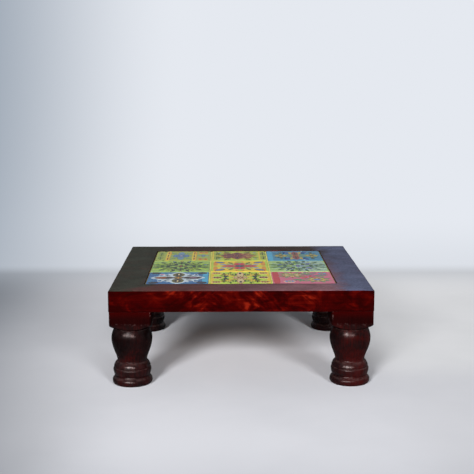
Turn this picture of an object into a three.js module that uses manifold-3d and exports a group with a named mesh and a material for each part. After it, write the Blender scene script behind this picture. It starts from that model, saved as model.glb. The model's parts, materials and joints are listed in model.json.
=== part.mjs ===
// A chowki: a low square wooden stool. A mitred frame holds nine glazed tiles and stands on four turned legs.
// Millimetres, +Z up. The origin is on the floor, under the middle of the top.

import * as THREE from "three";
import { mergeVertices } from "three/addons/utils/BufferGeometryUtils.js";
import Module from "manifold-3d";

const wasm = await Module();
wasm.setup();

// Tiles and what they lie on
const tileSize = 74;
const tileThickness = 7;
const tileCornerRadius = 2;
const tileEdgeRadius = 0.9;
const tileJoint = 1.5; // grout between two tiles
const edgeJoint = 1; // grout between the outer tiles and the frame
const groutDrop = 0.7; // the grout is struck this far below the glaze
const bedThickness = 1.5; // adhesive under the tiles
const panelThickness = 9; // plywood that carries the tiles

// Frame
const railFace = 39; // width of a rail as seen from above
const tileDrop = 0.5; // the glaze lies this far below the rails' top face
const ledgeWidth = 10; // the lip of the rails' rebate, which carries the panel
const ledgeThickness = 7;
const topEdgeRadius = 2.2;
const bottomEdgeRadius = 0.6;
const innerEdgeChamfer = 0.5;
const frameCornerRadius = 2.5;

// Legs, from the floor up. Each is turned from one square blank, which is left square at its top.
const legHeight = 90; // floor to frame, which the vase's swell makes up
const blankWidth = 48;
const blankEdgeRadius = 1.6;
const legSetback = 0.5; // the block stands back from the frame's outer faces
const footHeight = 9.4;
const footRadius = 23.5;
const footSoleRadius = 21.6;
const footBrowRadius = 21.5;
const footBrowDrop = 1.2;
const quirkRadius = 20.3; // the groove above the foot
const quirkHeight = 0.8;
const ringHeight = 14.1;
const ringRadius = 22.4;
const ringLineHeight = 10.3; // a line cut round the ring, above the ring's base
const ringLineRadius = 20.7;
const ringLineWidth = 1.3;
const ringLineShoulder = 21.4;
const ringCrownRadius = 20.7;
const filletRadius = 18.2;
const filletHeight = 1.7;
const neckRadius = 17.4;
const neckRise = 2.6;
const neckStraightness = 0.22; // share of the swell in which the vase leaves the neck upright
const vaseRadius = 23.9;
const vaseFullness = 0.4; // share of the swell in which the vase nears its widest
const vaseShoulder = 12.6; // height from the vase's widest point to its mouth
const vaseMouthRadius = 20.7;
const shoulderFullness = 0.44; // shares of the shoulder's height that round it over
const mouthFlare = 0.12;
const mouthRise = 0.25;
const collarRadius = 20; // the cut that parts the vase from the block
const collarWidth = 1.3;
const pommelRise = 7.4; // how far the lathe cuts up the block's corners
const blockHeight = 14.7; // the block above that cut
const beadLift = 0.2; // share of a bead's height from its ends to its curve's handles
const tenonRadius = 11;
const tenonLength = 12;
const tenonChamfer = 1;

// Hidden joinery and screws
const splineThickness = 3;
const splineWidth = 18;
const splineLength = 36;
const splineFromCorner = 13; // along the mitre, from the frame's outer corner
const splineAboveTenon = 2.4;
const screwSpacing = 110;
const screwsPerRail = 2;
const screwLength = 13;
const screwRadius = 1.75;
const screwTipRadius = 0.3;
const screwPointLength = 3;
const screwHeadRadius = 3.5;
const screwHeadHeight = 2.2;
const screwRimHeight = 0.4;
const screwSink = 0.4; // the head lies this far inside the lip's underside
const crossWidth = 1.1;
const crossSpan = 3.6;
const crossDepth = 1.4;

// Gaps
const glueLine = 0.2; // in each glued or seated joint
const mitreGap = 0.25;
const tileGap = 0.1; // between a tile and its grout
const screwGap = 0.25;
const cutterExcess = 1; // a cutting solid runs past the face that it cuts by this much

const latheSegments = 28;
const screwSegments = 12;

const rows = ["front", "middle", "back"];
const columns = ["left", "centre", "right"];

// Sizes that follow from those above
const fieldSize = (count) => count * tileSize + (count - 1) * tileJoint + 2 * edgeJoint;
const recessWidth = fieldSize(columns.length);
const recessDepth = fieldSize(rows.length);
const tableWidth = recessWidth + 2 * railFace;
const tableDepth = recessDepth + 2 * railFace;
const lipReach = railFace + ledgeWidth;
const ringBase = footHeight + quirkHeight;
const ringLine = ringBase + ringLineHeight;
const filletBase = ringBase + ringHeight;
const neckBase = filletBase + filletHeight;
const neckMiddle = neckBase + neckRise;
const frameBottom = legHeight;
const blockTop = frameBottom - glueLine;
const pommelTop = frameBottom - blockHeight;
const pommelBase = pommelTop - pommelRise;
const vaseMouth = pommelBase - collarWidth;
const vaseWidest = vaseMouth - vaseShoulder;
const vaseSwell = vaseWidest - neckMiddle;
const tenonTop = blockTop + tenonLength;
const mortiseTop = tenonTop + glueLine;
const splineBase = mortiseTop + splineAboveTenon;
const screwBase = frameBottom + screwSink;
const panelBase = frameBottom + ledgeThickness;
const bedBase = panelBase + panelThickness;
const tileBase = bedBase + bedThickness;
const tileTop = tileBase + tileThickness;
const groutTop = tileTop - groutDrop;
const frameTop = tileTop + tileDrop;

// Places
const legInset = blankWidth / 2 + legSetback;
const corners = [
  { name: "front_left", x: -1, y: -1 },
  { name: "front_right", x: 1, y: -1 },
  { name: "back_left", x: -1, y: 1 },
  { name: "back_right", x: 1, y: 1 },
];
const legPlace = ({ x, y }) => [x * (tableWidth / 2 - legInset), y * (tableDepth / 2 - legInset)];

const sides = [
  { name: "front", turn: 0, length: tableWidth, reach: tableDepth / 2 },
  { name: "right", turn: 90, length: tableDepth, reach: tableWidth / 2 },
  { name: "back", turn: 180, length: tableWidth, reach: tableDepth / 2 },
  { name: "left", turn: 270, length: tableDepth, reach: tableWidth / 2 },
];
const centred = (index, count) => index - (count - 1) / 2;
const screws = sides.flatMap(({ name, turn, reach }) =>
  Array.from({ length: screwsPerRail }, (_, i) => {
    const along = centred(i, screwsPerRail) * screwSpacing;
    const place = new THREE.Vector2(along, railFace + ledgeWidth / 2 - reach);
    place.rotateAround(new THREE.Vector2(), THREE.MathUtils.degToRad(turn));
    return { name: `${name}_${i + 1}`, x: place.x, y: place.y };
  }),
);
const tilePlace = (column, row) => [
  centred(column, columns.length) * (tileSize + tileJoint),
  centred(row, rows.length) * (tileSize + tileJoint),
];

// three.js geometry to a solid that can be cut, and back again
function solid(geometry) {
  const bare = geometry.index ? geometry.toNonIndexed() : geometry.clone();
  bare.deleteAttribute("normal");
  bare.deleteAttribute("uv");
  const merged = mergeVertices(bare, 1e-4);
  return new wasm.Manifold(
    new wasm.Mesh({
      numProp: 3,
      vertProperties: merged.attributes.position.array,
      triVerts: new Uint32Array(merged.index.array),
    }),
  );
}

function geometryOf(body) {
  const made = body.getMesh();
  const geometry = new THREE.BufferGeometry();
  geometry.setAttribute("position", new THREE.BufferAttribute(made.vertProperties, 3));
  geometry.setIndex(new THREE.BufferAttribute(made.triVerts, 1));
  const faceted = geometry.toNonIndexed();
  faceted.computeVertexNormals();
  return faceted;
}

// A block given by its size and by the middle of its underside
function box(width, depth, height, x, y, bottom) {
  return new THREE.BoxGeometry(width, depth, height).translate(x, y, bottom + height / 2);
}

function roundedRectangle(width, depth, radius) {
  const x = width / 2 - radius;
  const y = depth / 2 - radius;
  const shape = new THREE.Shape();
  shape.absarc(x, -y, radius, -Math.PI / 2, 0);
  shape.absarc(x, y, radius, 0, Math.PI / 2);
  shape.absarc(-x, y, radius, Math.PI / 2, Math.PI);
  shape.absarc(-x, -y, radius, Math.PI, 1.5 * Math.PI);
  return shape;
}

// A shape in plan, raised from one height to another
function prism(shape, bottom, top) {
  const geometry = new THREE.ExtrudeGeometry(shape, {
    depth: top - bottom,
    bevelEnabled: false,
    curveSegments: 2,
  });
  return geometry.translate(0, 0, bottom);
}

// A rounded rectangle raised the same way, with its top and bottom edges rounded too
function easedBlock(width, depth, radius, bottom, top, ease, segments) {
  const shape = roundedRectangle(width - 2 * ease, depth - 2 * ease, radius - ease);
  const geometry = new THREE.ExtrudeGeometry(shape, {
    depth: top - bottom - 2 * ease,
    bevelThickness: ease,
    bevelSize: ease,
    bevelSegments: segments,
    curveSegments: 2,
  });
  return geometry.translate(0, 0, bottom + ease);
}

// A profile of (radius, height) points turned about the Z axis
const at = (radius, height) => new THREE.Vector2(radius, height);
function turned(points, segments) {
  return new THREE.LatheGeometry(points, segments).rotateX(Math.PI / 2);
}

// The turned outline of a leg, with the lathe's cut into the square blank near its top and the tenon above
function legOutline() {
  const outline = [at(0, 0), at(footSoleRadius, 0)];
  const last = () => outline[outline.length - 1];
  const lineTo = (radius, height) => outline.push(at(radius, height));
  const curveTo = (steps, ...controls) => {
    const curve = new THREE.CubicBezierCurve(last(), ...controls);
    outline.push(...curve.getPoints(steps).slice(1));
  };
  // A bead swells from the last point to the next, and is as wide as asked halfway. There a cubic curve
  // is an eighth of both its ends and three eighths of both its handles.
  const beadTo = (steps, widest, radius, height) => {
    const start = last();
    const pull = (8 * widest - start.x - radius) / 6;
    const lift = (height - start.y) * beadLift;
    curveTo(steps, at(pull, start.y + lift), at(pull, height - lift), at(radius, height));
  };

  beadTo(5, footRadius, footBrowRadius, footHeight - footBrowDrop);
  lineTo(quirkRadius, footHeight);
  lineTo(quirkRadius, ringBase);
  beadTo(4, ringRadius, ringLineShoulder, ringLine - ringLineWidth / 2);
  lineTo(ringLineRadius, ringLine);
  lineTo(ringLineShoulder, ringLine + ringLineWidth / 2);
  beadTo(3, ringCrownRadius, filletRadius, filletBase);
  curveTo(
    3,
    at(filletRadius, filletBase + filletHeight / 2),
    at(neckRadius, neckBase),
    at(neckRadius, neckMiddle),
  );
  curveTo(
    6,
    at(neckRadius, neckMiddle + vaseSwell * neckStraightness),
    at(vaseRadius, vaseWidest - vaseSwell * vaseFullness),
    at(vaseRadius, vaseWidest),
  );
  curveTo(
    4,
    at(vaseRadius, vaseWidest + vaseShoulder * shoulderFullness),
    at(vaseMouthRadius + vaseShoulder * mouthFlare, vaseMouth - vaseShoulder * mouthRise),
    at(vaseMouthRadius, vaseMouth),
  );
  lineTo(collarRadius, vaseMouth + collarWidth / 2);
  lineTo(vaseMouthRadius, pommelBase);
  const blankCorner = blankWidth * Math.SQRT1_2;
  curveTo(
    4,
    at(blankWidth / 2, pommelBase),
    at(blankCorner - pommelRise / 2, pommelTop - pommelRise / 2),
    at(blankCorner, pommelTop),
  );
  lineTo(blankCorner, blockTop);
  lineTo(tenonRadius, blockTop);
  lineTo(tenonRadius, tenonTop - tenonChamfer);
  lineTo(tenonRadius - tenonChamfer, tenonTop);
  lineTo(0, tenonTop);
  return outline;
}

function legGeometry() {
  const blank = roundedRectangle(blankWidth, blankWidth, blankEdgeRadius);
  const turning = solid(turned(legOutline(), latheSegments));
  return geometryOf(turning.intersect(solid(prism(blank, -cutterExcess, tenonTop + cutterExcess))));
}

// A rail's section, as distance in from its outer face against height
function railSection() {
  const shape = new THREE.Shape();
  shape.absarc(
    bottomEdgeRadius,
    frameBottom + bottomEdgeRadius,
    bottomEdgeRadius,
    Math.PI,
    1.5 * Math.PI,
  );
  shape.lineTo(lipReach, frameBottom);
  shape.lineTo(lipReach, panelBase);
  shape.lineTo(railFace, panelBase);
  shape.lineTo(railFace, frameTop - innerEdgeChamfer);
  shape.lineTo(railFace - innerEdgeChamfer, frameTop);
  shape.absarc(topEdgeRadius, frameTop - topEdgeRadius, topEdgeRadius, Math.PI / 2, Math.PI);
  return shape;
}

// A rail along X with its outer face towards -Y, mitred at both ends
function railBlank(length, reach) {
  const inward = new THREE.Vector3(0, 1, 0);
  const upward = new THREE.Vector3(0, 0, 1);
  const along = new THREE.Vector3(1, 0, 0);
  const moulding = prism(railSection(), -length / 2, length / 2);
  moulding.applyMatrix4(new THREE.Matrix4().makeBasis(inward, upward, along));
  moulding.translate(0, -reach, 0);
  const halfLength = length / 2 - mitreGap * Math.SQRT1_2;
  const taper = lipReach + cutterExcess;
  const mitred = new THREE.Shape([
    at(-halfLength, -reach),
    at(halfLength, -reach),
    at(halfLength - taper, taper - reach),
    at(taper - halfLength, taper - reach),
  ]);
  return solid(moulding).intersect(
    solid(prism(mitred, frameBottom - cutterExcess, frameTop + cutterExcess)),
  );
}

// A loose tongue that lies flat across the mitre, along the diagonal and above the leg's tenon
function splineGeometry({ x, y }, gap) {
  const inward = (splineFromCorner + splineLength / 2) * Math.SQRT1_2;
  const plate = box(
    splineLength + 2 * gap,
    splineWidth + 2 * gap,
    splineThickness + 2 * gap,
    0,
    0,
    splineBase - gap,
  );
  plate.rotateZ((x * y * Math.PI) / 4);
  return plate.translate(x * (tableWidth / 2 - inward), y * (tableDepth / 2 - inward), 0);
}

// A countersunk screw, head down, or the hole for it when it is given a gap
function screwOutline(gap, sink) {
  return [
    at(0, -sink),
    at(screwHeadRadius + gap, -sink),
    at(screwHeadRadius + gap, screwRimHeight),
    at(screwRadius + gap, screwHeadHeight + gap),
    at(screwRadius + gap, screwLength - screwPointLength + gap),
    at(screwTipRadius + gap, screwLength + gap),
    at(0, screwLength + gap),
  ];
}

function screwHole({ x, y }) {
  const hole = turned(screwOutline(screwGap, screwSink + cutterExcess), screwSegments);
  return solid(hole.translate(x, y, screwBase));
}

function screwGeometry() {
  const body = solid(turned(screwOutline(0, 0), screwSegments));
  const depth = crossDepth + cutterExcess;
  const across = solid(box(crossSpan, crossWidth, depth, 0, 0, -cutterExcess));
  const along = solid(box(crossWidth, crossSpan, depth, 0, 0, -cutterExcess));
  return geometryOf(body.subtract(across.add(along)));
}

function mortise(corner) {
  const bottom = frameBottom - cutterExcess;
  const radius = tenonRadius + glueLine;
  const hole = turned(
    [at(0, bottom), at(radius, bottom), at(radius, mortiseTop), at(0, mortiseTop)],
    latheSegments,
  );
  return solid(hole.translate(...legPlace(corner), 0));
}

function railGeometries() {
  const plan = roundedRectangle(tableWidth, tableDepth, frameCornerRadius);
  const footprint = solid(prism(plan, frameBottom - cutterExcess, frameTop + cutterExcess));
  const cuts = [
    ...corners.map(mortise),
    ...corners.map((corner) => solid(splineGeometry(corner, glueLine))),
    ...screws.map(screwHole),
  ].reduce((joined, cut) => joined.add(cut));
  return sides.map(({ name, turn, length, reach }) => {
    const rail = railBlank(length, reach).rotate([0, 0, turn]);
    return { name, geometry: geometryOf(rail.intersect(footprint).subtract(cuts)) };
  });
}

// A plate that fills the rebate between two heights, with the glue line left under and around it
function recessPlate(bottom, top) {
  const height = top - bottom - glueLine;
  return box(recessWidth - 2 * glueLine, recessDepth - 2 * glueLine, height, 0, 0, bottom + glueLine);
}

function panelGeometry() {
  const plate = solid(recessPlate(panelBase, bedBase));
  return geometryOf(screws.map(screwHole).reduce((left, hole) => left.subtract(hole), plate));
}

function tileGeometry() {
  const underside = tileBase + glueLine;
  const rounded = easedBlock(
    tileSize,
    tileSize,
    tileCornerRadius,
    underside - 2 * tileEdgeRadius,
    tileTop,
    tileEdgeRadius,
    2,
  );
  const cutter = box(
    tileSize + 2 * cutterExcess,
    tileSize + 2 * cutterExcess,
    2 * tileEdgeRadius + cutterExcess,
    0,
    0,
    underside - 2 * tileEdgeRadius - cutterExcess,
  );
  return geometryOf(solid(rounded).subtract(solid(cutter)));
}

function groutGeometry() {
  const base = tileBase + glueLine;
  const width = recessWidth - 2 * tileGap;
  const depth = recessDepth - 2 * tileGap;
  const cellSize = tileSize + 2 * tileGap;
  const cell = roundedRectangle(cellSize, cellSize, tileCornerRadius + tileGap);
  let grid = solid(box(width, depth, groutTop - base, 0, 0, base));
  for (const row of rows.keys()) {
    for (const column of columns.keys()) {
      const hole = prism(cell, base - cutterExcess, groutTop + cutterExcess);
      grid = grid.subtract(solid(hole.translate(...tilePlace(column, row), 0)));
    }
  }
  return geometryOf(grid);
}

// Finishes
const finish = (color, roughness, metalness = 0) =>
  new THREE.MeshStandardMaterial({ color, roughness, metalness });
const railLacquer = finish(0x5a100b, 0.28);
const legLacquer = finish(0x2c1010, 0.3);
const bareWood = finish(0xa9825a, 0.8);
const plywood = finish(0x9c7650, 0.85);
const cement = finish(0xcfcabb, 0.9);
const steel = finish(0x9a9a98, 0.35, 0.9);
const glaze = (color) => finish(color, 0.15);
const glazes = {
  back: [glaze(0xc9c83e), glaze(0xb5c94a), glaze(0x3b8fce)],
  middle: [glaze(0xa4cc6a), glaze(0xe2bd2c), glaze(0xa5cfa0)],
  front: [glaze(0x2f7fc4), glaze(0xb7d23c), glaze(0xcf4253)],
};

const chowki = new THREE.Group();

function addPiece(name, geometry, material, x = 0, y = 0, z = 0) {
  const mesh = new THREE.Mesh(geometry, material);
  mesh.name = name;
  mesh.position.set(x, y, z);
  chowki.add(mesh);
}

for (const { name, geometry } of railGeometries()) {
  addPiece(`frame_rail_${name}`, geometry, railLacquer);
}
for (const corner of corners) {
  addPiece(`mitre_spline_${corner.name}`, splineGeometry(corner, 0), bareWood);
  addPiece(`leg_${corner.name}`, legGeometry(), legLacquer, ...legPlace(corner));
}
addPiece("base_panel", panelGeometry(), plywood);
for (const { name, x, y } of screws) {
  addPiece(`panel_screw_${name}`, screwGeometry(), steel, x, y, screwBase);
}
addPiece("tile_bed", recessPlate(bedBase, tileBase), cement);
addPiece("tile_grout", groutGeometry(), cement);
for (const [row, rowName] of rows.entries()) {
  for (const [column, columnName] of columns.entries()) {
    const name = `tile_${rowName}_${columnName}`;
    addPiece(name, tileGeometry(), glazes[rowName][column], ...tilePlace(column, row));
  }
}

export default chowki;
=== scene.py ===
"""The looks of a chowki: a low wooden stool with nine hand-painted tiles, on four turned legs."""

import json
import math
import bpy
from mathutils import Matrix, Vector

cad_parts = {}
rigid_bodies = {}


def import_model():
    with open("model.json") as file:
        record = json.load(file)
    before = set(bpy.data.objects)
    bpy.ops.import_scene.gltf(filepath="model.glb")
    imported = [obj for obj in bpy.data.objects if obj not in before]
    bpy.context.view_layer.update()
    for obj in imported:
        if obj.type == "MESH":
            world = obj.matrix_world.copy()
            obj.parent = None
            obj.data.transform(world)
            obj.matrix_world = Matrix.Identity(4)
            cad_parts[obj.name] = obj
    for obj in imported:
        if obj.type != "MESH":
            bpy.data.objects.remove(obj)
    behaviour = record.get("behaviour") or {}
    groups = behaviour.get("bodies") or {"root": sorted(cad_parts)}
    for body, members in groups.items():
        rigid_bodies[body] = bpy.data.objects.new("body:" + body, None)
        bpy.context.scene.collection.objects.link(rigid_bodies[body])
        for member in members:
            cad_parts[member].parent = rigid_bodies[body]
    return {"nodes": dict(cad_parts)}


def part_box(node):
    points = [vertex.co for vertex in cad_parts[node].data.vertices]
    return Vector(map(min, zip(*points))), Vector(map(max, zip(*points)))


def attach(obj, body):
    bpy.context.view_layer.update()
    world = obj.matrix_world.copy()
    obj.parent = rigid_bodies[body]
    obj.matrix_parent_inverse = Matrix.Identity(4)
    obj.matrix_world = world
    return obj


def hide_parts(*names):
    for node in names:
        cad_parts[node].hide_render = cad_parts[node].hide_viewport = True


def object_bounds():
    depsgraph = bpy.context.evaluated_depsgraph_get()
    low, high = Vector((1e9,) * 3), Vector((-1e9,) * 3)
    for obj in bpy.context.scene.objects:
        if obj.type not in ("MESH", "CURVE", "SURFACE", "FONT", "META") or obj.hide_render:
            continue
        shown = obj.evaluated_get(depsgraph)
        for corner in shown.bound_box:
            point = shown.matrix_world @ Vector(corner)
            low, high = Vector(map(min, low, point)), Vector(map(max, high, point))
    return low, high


bl_info = {
    "name": "Tiled Chowki",
    "version": (1, 0, 0),
    "blender": (4, 5, 0),
    "location": "3D Viewport > Sidebar > Chowki",
    "description": "Lacquered frame and turned legs, painted tiles and a studio for a low tiled stool",
    "category": "Object",
}

import bmesh
import bpy
from bpy.props import FloatProperty, FloatVectorProperty, IntProperty, PointerProperty
from mathutils import Matrix, Vector, noise
from mathutils.geometry import interpolate_bezier

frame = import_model()
cad_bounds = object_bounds()

MM = 0.001
TOUCHING = 0.001 * MM  # points closer than this are one
GLUE_LINE = 0.2 * MM  # between the legs and the frame
BODY = "root"
SIDES = ("front", "right", "back", "left")
CORNERS = ("front_left", "front_right", "back_left", "back_right")


# Settings

def linear(channel):
    """A screen value from 0 to 255 as the linear value that Blender works in."""
    value = channel / 255
    return value / 12.92 if value <= 0.04045 else ((value + 0.055) / 1.055) ** 2.4


def mm(name, description, value):
    """A length in millimetres."""
    return FloatProperty(
        name=name, description=description, default=value * MM, unit="LENGTH", precision=5
    )


def degrees(name, description, value):
    """An angle in degrees."""
    return FloatProperty(
        name=name, description=description, default=math.radians(value), subtype="ANGLE"
    )


def factor(name, description, value):
    """A share from 0 to 1."""
    return FloatProperty(
        name=name, description=description, default=value, min=0, max=1, subtype="FACTOR"
    )


def watts(name, description, value):
    return FloatProperty(name=name, description=description, default=value, unit="POWER")


def rgb(name, description, *screen):
    """A colour in screen values from 0 to 255."""
    default = tuple(linear(channel) for channel in screen)
    return FloatVectorProperty(
        name=name, description=description, default=default, min=0, max=1, size=3, subtype="COLOR"
    )


class ChowkiFrameSettings(bpy.types.PropertyGroup):
    """Sizes of the mitred frame."""

    face_width: mm("Face width", "Width of a rail seen from above", 39)
    lip_width: mm("Lip width", "Width of the rebate's lip under the panel", 10)
    lip_thickness: mm("Lip thickness", "Thickness of that lip", 7)
    top_radius: mm("Top edge radius", "Rounding of the outer top edge", 2.2)
    bottom_radius: mm("Bottom edge radius", "Rounding of the outer bottom edge", 0.6)
    inner_radius: mm("Inner edge radius", "Rounding of the edge beside the tiles", 0.7)
    corner_radius: mm("Corner radius", "Rounding of the frame's corners", 2.5)
    mitre_gap: mm("Mitre gap", "Width of the line between two rails", 0.2)
    hand_planing: mm("Hand planing", "How far the faces wander from true", 0.28)
    screw_hole_radius: mm("Screw hole radius", "Countersunk holes under the lips", 3.75)


class ChowkiLegSettings(bpy.types.PropertyGroup):
    """Sizes of a turned leg, from the sole up."""

    blank_width: mm("Blank width", "Side of the square blank", 48)
    blank_edge_radius: mm("Blank edge radius", "Rounding of the blank's long edges", 1.6)
    sole_radius: mm("Sole radius", "Where the foot meets the floor", 21.6)
    foot_radius: mm("Foot radius", "Widest part of the disc foot", 23.5)
    foot_brow_radius: mm("Foot brow radius", "Top edge of the disc foot", 21.5)
    foot_brow_height: mm("Foot brow height", "Height of that edge", 8.2)
    foot_height: mm("Foot height", "Height of the groove above the foot", 9.4)
    quirk_radius: mm("Quirk radius", "Depth of that groove", 20.3)
    quirk_height: mm("Quirk height", "Width of that groove", 0.8)
    ring_radius: mm("Ring radius", "Widest part of the ring", 22.4)
    ring_height: mm("Ring height", "Height of the ring", 16.8)
    ring_line_height: mm("Ring line height", "Height of the cut line above the ring's base", 9.9)
    ring_line_radius: mm("Ring line radius", "Depth of the cut line", 20.7)
    ring_line_width: mm("Ring line width", "Width of the cut line", 1.3)
    ring_shoulder: mm("Ring shoulder", "Radius at both lips of the cut line", 21.4)
    ring_lean: mm("Ring lean", "How far the ring below the line leans out towards its top", 1.1)
    fillet_radius: mm("Fillet radius", "Where the slope above the line meets the neck", 18.3)
    neck_radius: mm("Neck radius", "Narrowest part of the leg", 17.4)
    neck_rise: mm("Neck rise", "From the ring to the narrowest part", 1.8)
    neck_straightness: factor("Neck straightness", "How long the vase leaves the neck upright", 0.22)
    vase_radius: mm("Vase radius", "Widest part of the vase", 23.9)
    vase_fullness: factor("Vase fullness", "How early the vase nears its widest", 0.4)
    vase_shoulder: mm("Vase shoulder", "From the widest part to the mouth", 12.6)
    vase_mouth_radius: mm("Vase mouth radius", "Radius of the vase's mouth", 20.7)
    shoulder_fullness: factor("Shoulder fullness", "How long the shoulder stays wide", 0.44)
    mouth_flare: factor("Mouth flare", "How wide the shoulder's curve comes into the mouth", 0.12)
    mouth_rise: factor("Mouth rise", "How steeply the shoulder's curve comes into the mouth", 0.25)
    collar_radius: mm("Collar radius", "Depth of the cut above the vase", 19.6)
    collar_width: mm("Collar width", "Width of that cut", 1.3)
    pommel_rise: mm("Pommel rise", "How far the lathe cuts up the block's corners", 7.4)
    block_height: mm("Block height", "Square block above that cut", 14.7)
    bead_lift: factor("Bead lift", "How square the beads are", 0.2)
    tenon_radius: mm("Tenon radius", "Round tenon in the frame", 11)
    tenon_length: mm("Tenon length", "Length of the tenon", 12)
    turning_wander: mm("Turning wander", "How far the turned surface wanders", 0.16)
    steps: IntProperty(name="Steps", description="Steps round a leg", default=96, min=24, max=256)


class ChowkiLacquerSettings(bpy.types.PropertyGroup):
    """Colours and gloss of the lacquered wood."""

    rail_dark: rgb("Rail dark", "Darkest wood of the frame", 30, 1, 1)
    rail_red: rgb("Rail red", "Body colour of the frame", 46, 1, 1)
    rail_warm: rgb("Rail warm", "Lighter wood of the frame", 68, 5, 2)
    rail_flame: rgb("Rail flame", "Flame figure of the frame", 106, 21, 8)
    # Painted reflection: the five top colours below stand for worn film together with the room's grazing
    # reflection on the frame's top.
    front_top: rgb("Front top", "Worn film on top of the front rail", 90, 57, 54)
    front_top_right: rgb("Front top right", "The same near its right end", 134, 98, 106)
    right_top: rgb("Right top", "Worn film on top of the right rail", 92, 98, 124)
    back_top: rgb("Back top", "Worn film on top of the back rail", 64, 54, 50)
    left_top: rgb("Left top", "Worn film on top of the left rail", 57, 59, 51)
    leg_dark: rgb("Leg dark", "Darkest wood of the legs", 10, 4, 4)
    leg_brown: rgb("Leg brown", "Body colour of the legs", 21, 6, 6)
    leg_red: rgb("Leg red", "Red where the lacquer is thin on the legs", 46, 6, 5)
    block_red: rgb("Block red", "Square block at the top of the legs", 26, 3, 3)
    # Painted highlight: this dust colour, laid on upward faces, also stands for the broad sheen on the
    # legs' shoulders, ring and foot.
    dust_and_sheen: rgb("Dust", "Dull film where dust settles on the legs", 104, 84, 82)
    front_coat: factor("Front coat", "Clear coat on the frame's upright faces", 0.02)
    top_coat: factor("Top coat", "Clear coat left on the worn top", 0.08)
    leg_coat: factor("Leg coat", "Clear coat on the legs", 0.12)
    rail_coat_roughness: factor("Rail coat roughness", "Roughness of the frame's clear coat", 0.3)
    leg_coat_roughness: factor("Leg coat roughness", "Roughness of the legs' clear coat", 0.22)


class ChowkiTileSettings(bpy.types.PropertyGroup):
    """The painted tiles."""

    first_coat: mm("First coat", "Height of the lowest painted shape above the tile", 0.06)
    next_coat: mm("Next coat", "How much higher each later shape lies", 0.004)
    edge_softness: mm("Edge softness", "Rounding of a painted shape's edge", 0.05)
    glaze_coat: factor("Glaze coat", "Gloss of the glaze", 0.3)
    glaze_roughness: factor("Glaze roughness", "Roughness of the glaze", 0.12)
    grout: rgb("Grout", "Colour of the joints", 246, 240, 138)
    # Painted shade: this colour along the frame stands for grime and for the shade in the joint between
    # tiles and frame.
    grime_and_shade: rgb("Grime", "Dirt in the joint along the frame", 58, 44, 34)
    plywood: rgb("Plywood", "Colour of the panel underneath", 156, 118, 78)
    bare_wood: rgb("Bare wood", "Colour of the splines", 172, 134, 92)
    steel: rgb("Steel", "Colour of the screws", 160, 160, 156)


class ChowkiStageSettings(bpy.types.PropertyGroup):
    """Camera, floor and lamps."""

    lens: FloatProperty(
        name="Lens", description="Focal length in millimetres on a 36 mm sensor", default=74.98
    )
    camera_side: mm("Camera side", "Camera to the left of the middle", -17.7)
    camera_distance: mm("Camera distance", "Camera in front of the middle", 1254.2)
    camera_height: mm("Camera height", "Camera above the floor", 351.7)
    camera_pitch: degrees("Camera pitch", "Camera tilted down", 9.02)
    camera_yaw: degrees("Camera yaw", "Camera turned to the right", 0.67)
    camera_roll: degrees("Camera roll", "Camera rolled", 0.06)
    floor: rgb("Floor", "Colour of the floor", 228, 229, 235)
    floor_dim: rgb("Floor dim", "Colour of the floor far to the left", 132, 138, 147)
    # Painted light: the floor to the right of the stool is made lighter where the stool's shadow falls.
    floor_right_painted_light: rgb("Floor right", "Colour of the floor right of the stool", 240, 241, 244)
    floor_glow: factor("Floor glow", "How much of its own colour the floor beside the stool shows", 0.7)
    wall: rgb("Wall", "Colour of the backdrop", 229, 233, 240)
    wall_dim: rgb("Wall dim", "Colour of the backdrop far to the left", 146, 158, 172)
    # Painted shade: the backdrop darkens where the floor turns up.
    horizon_shade: rgb("Horizon", "Colour where the floor turns up", 160, 166, 175)
    wall_distance: mm("Wall distance", "Backdrop behind the middle", 800)
    wall_cove: mm("Wall cove", "Radius of the bend between floor and backdrop", 500)
    wall_height: mm("Wall height", "Top of the backdrop", 2200)
    floor_reach: mm("Floor reach", "Floor in front of the middle", 2600)
    sweep_width: mm("Sweep width", "Width of the floor and backdrop", 6000)
    lamp_distance: mm("Lamp distance", "From the middle of the floor to the side lamps", 4000)
    lamp_size: mm("Lamp size", "Width of a side lamp", 760)
    strip_width: mm("Strip width", "Width of the strip that only the legs' gloss shows", 4400)
    strip_height: mm("Strip height", "Height of that strip", 260)
    strip_turn: degrees("Strip turn", "Strip to the side of the front", 14)
    strip_colour: rgb("Strip colour", "Colour of the strip", 255, 226, 222)
    spot_size: mm("Spot size", "Width of the small lamp that only the legs' gloss shows", 500)
    lamp_rise: degrees("Lamp rise", "Side lamps above the floor", 22)
    left_turn: degrees("Left lamp turn", "Left lamp to the side of the front", 20)
    right_turn: degrees("Right lamp turn", "Right lamp to the side of the front", 24)
    aim_height: mm("Aim height", "Height of the point that the side lamps face", 50)
    top_height: mm("Top lamp height", "Top lamp above the floor", 1300)
    top_behind: mm("Top lamp behind", "Top lamp behind the middle", 250)
    top_size: mm("Top lamp size", "Width of the top lamp", 900)
    left_power: watts("Left lamp", "Its power", 184)
    right_power: watts("Right lamp", "Its power", 94)
    top_power: watts("Top lamp", "Its power", 0.6)
    strip_power: watts("Strip", "Its power", 460)
    spot_power: watts("Spot", "Its power", 150)
    world_strength: factor("World strength", "Light from all round", 0.07)
    world_colour: rgb("World colour", "Colour of that light and of the room in gloss", 229, 233, 240)


# Meshes

def add_object(mesh, name, materials=()):
    """A bmesh, which this uses up, as a smooth object with its materials."""
    data = bpy.data.meshes.new(name)
    mesh.to_mesh(data)
    mesh.free()
    for material in materials:
        data.materials.append(material)
    for polygon in data.polygons:
        polygon.use_smooth = True
    thing = bpy.data.objects.new(name, data)
    bpy.context.scene.collection.objects.link(thing)
    return thing


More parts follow.
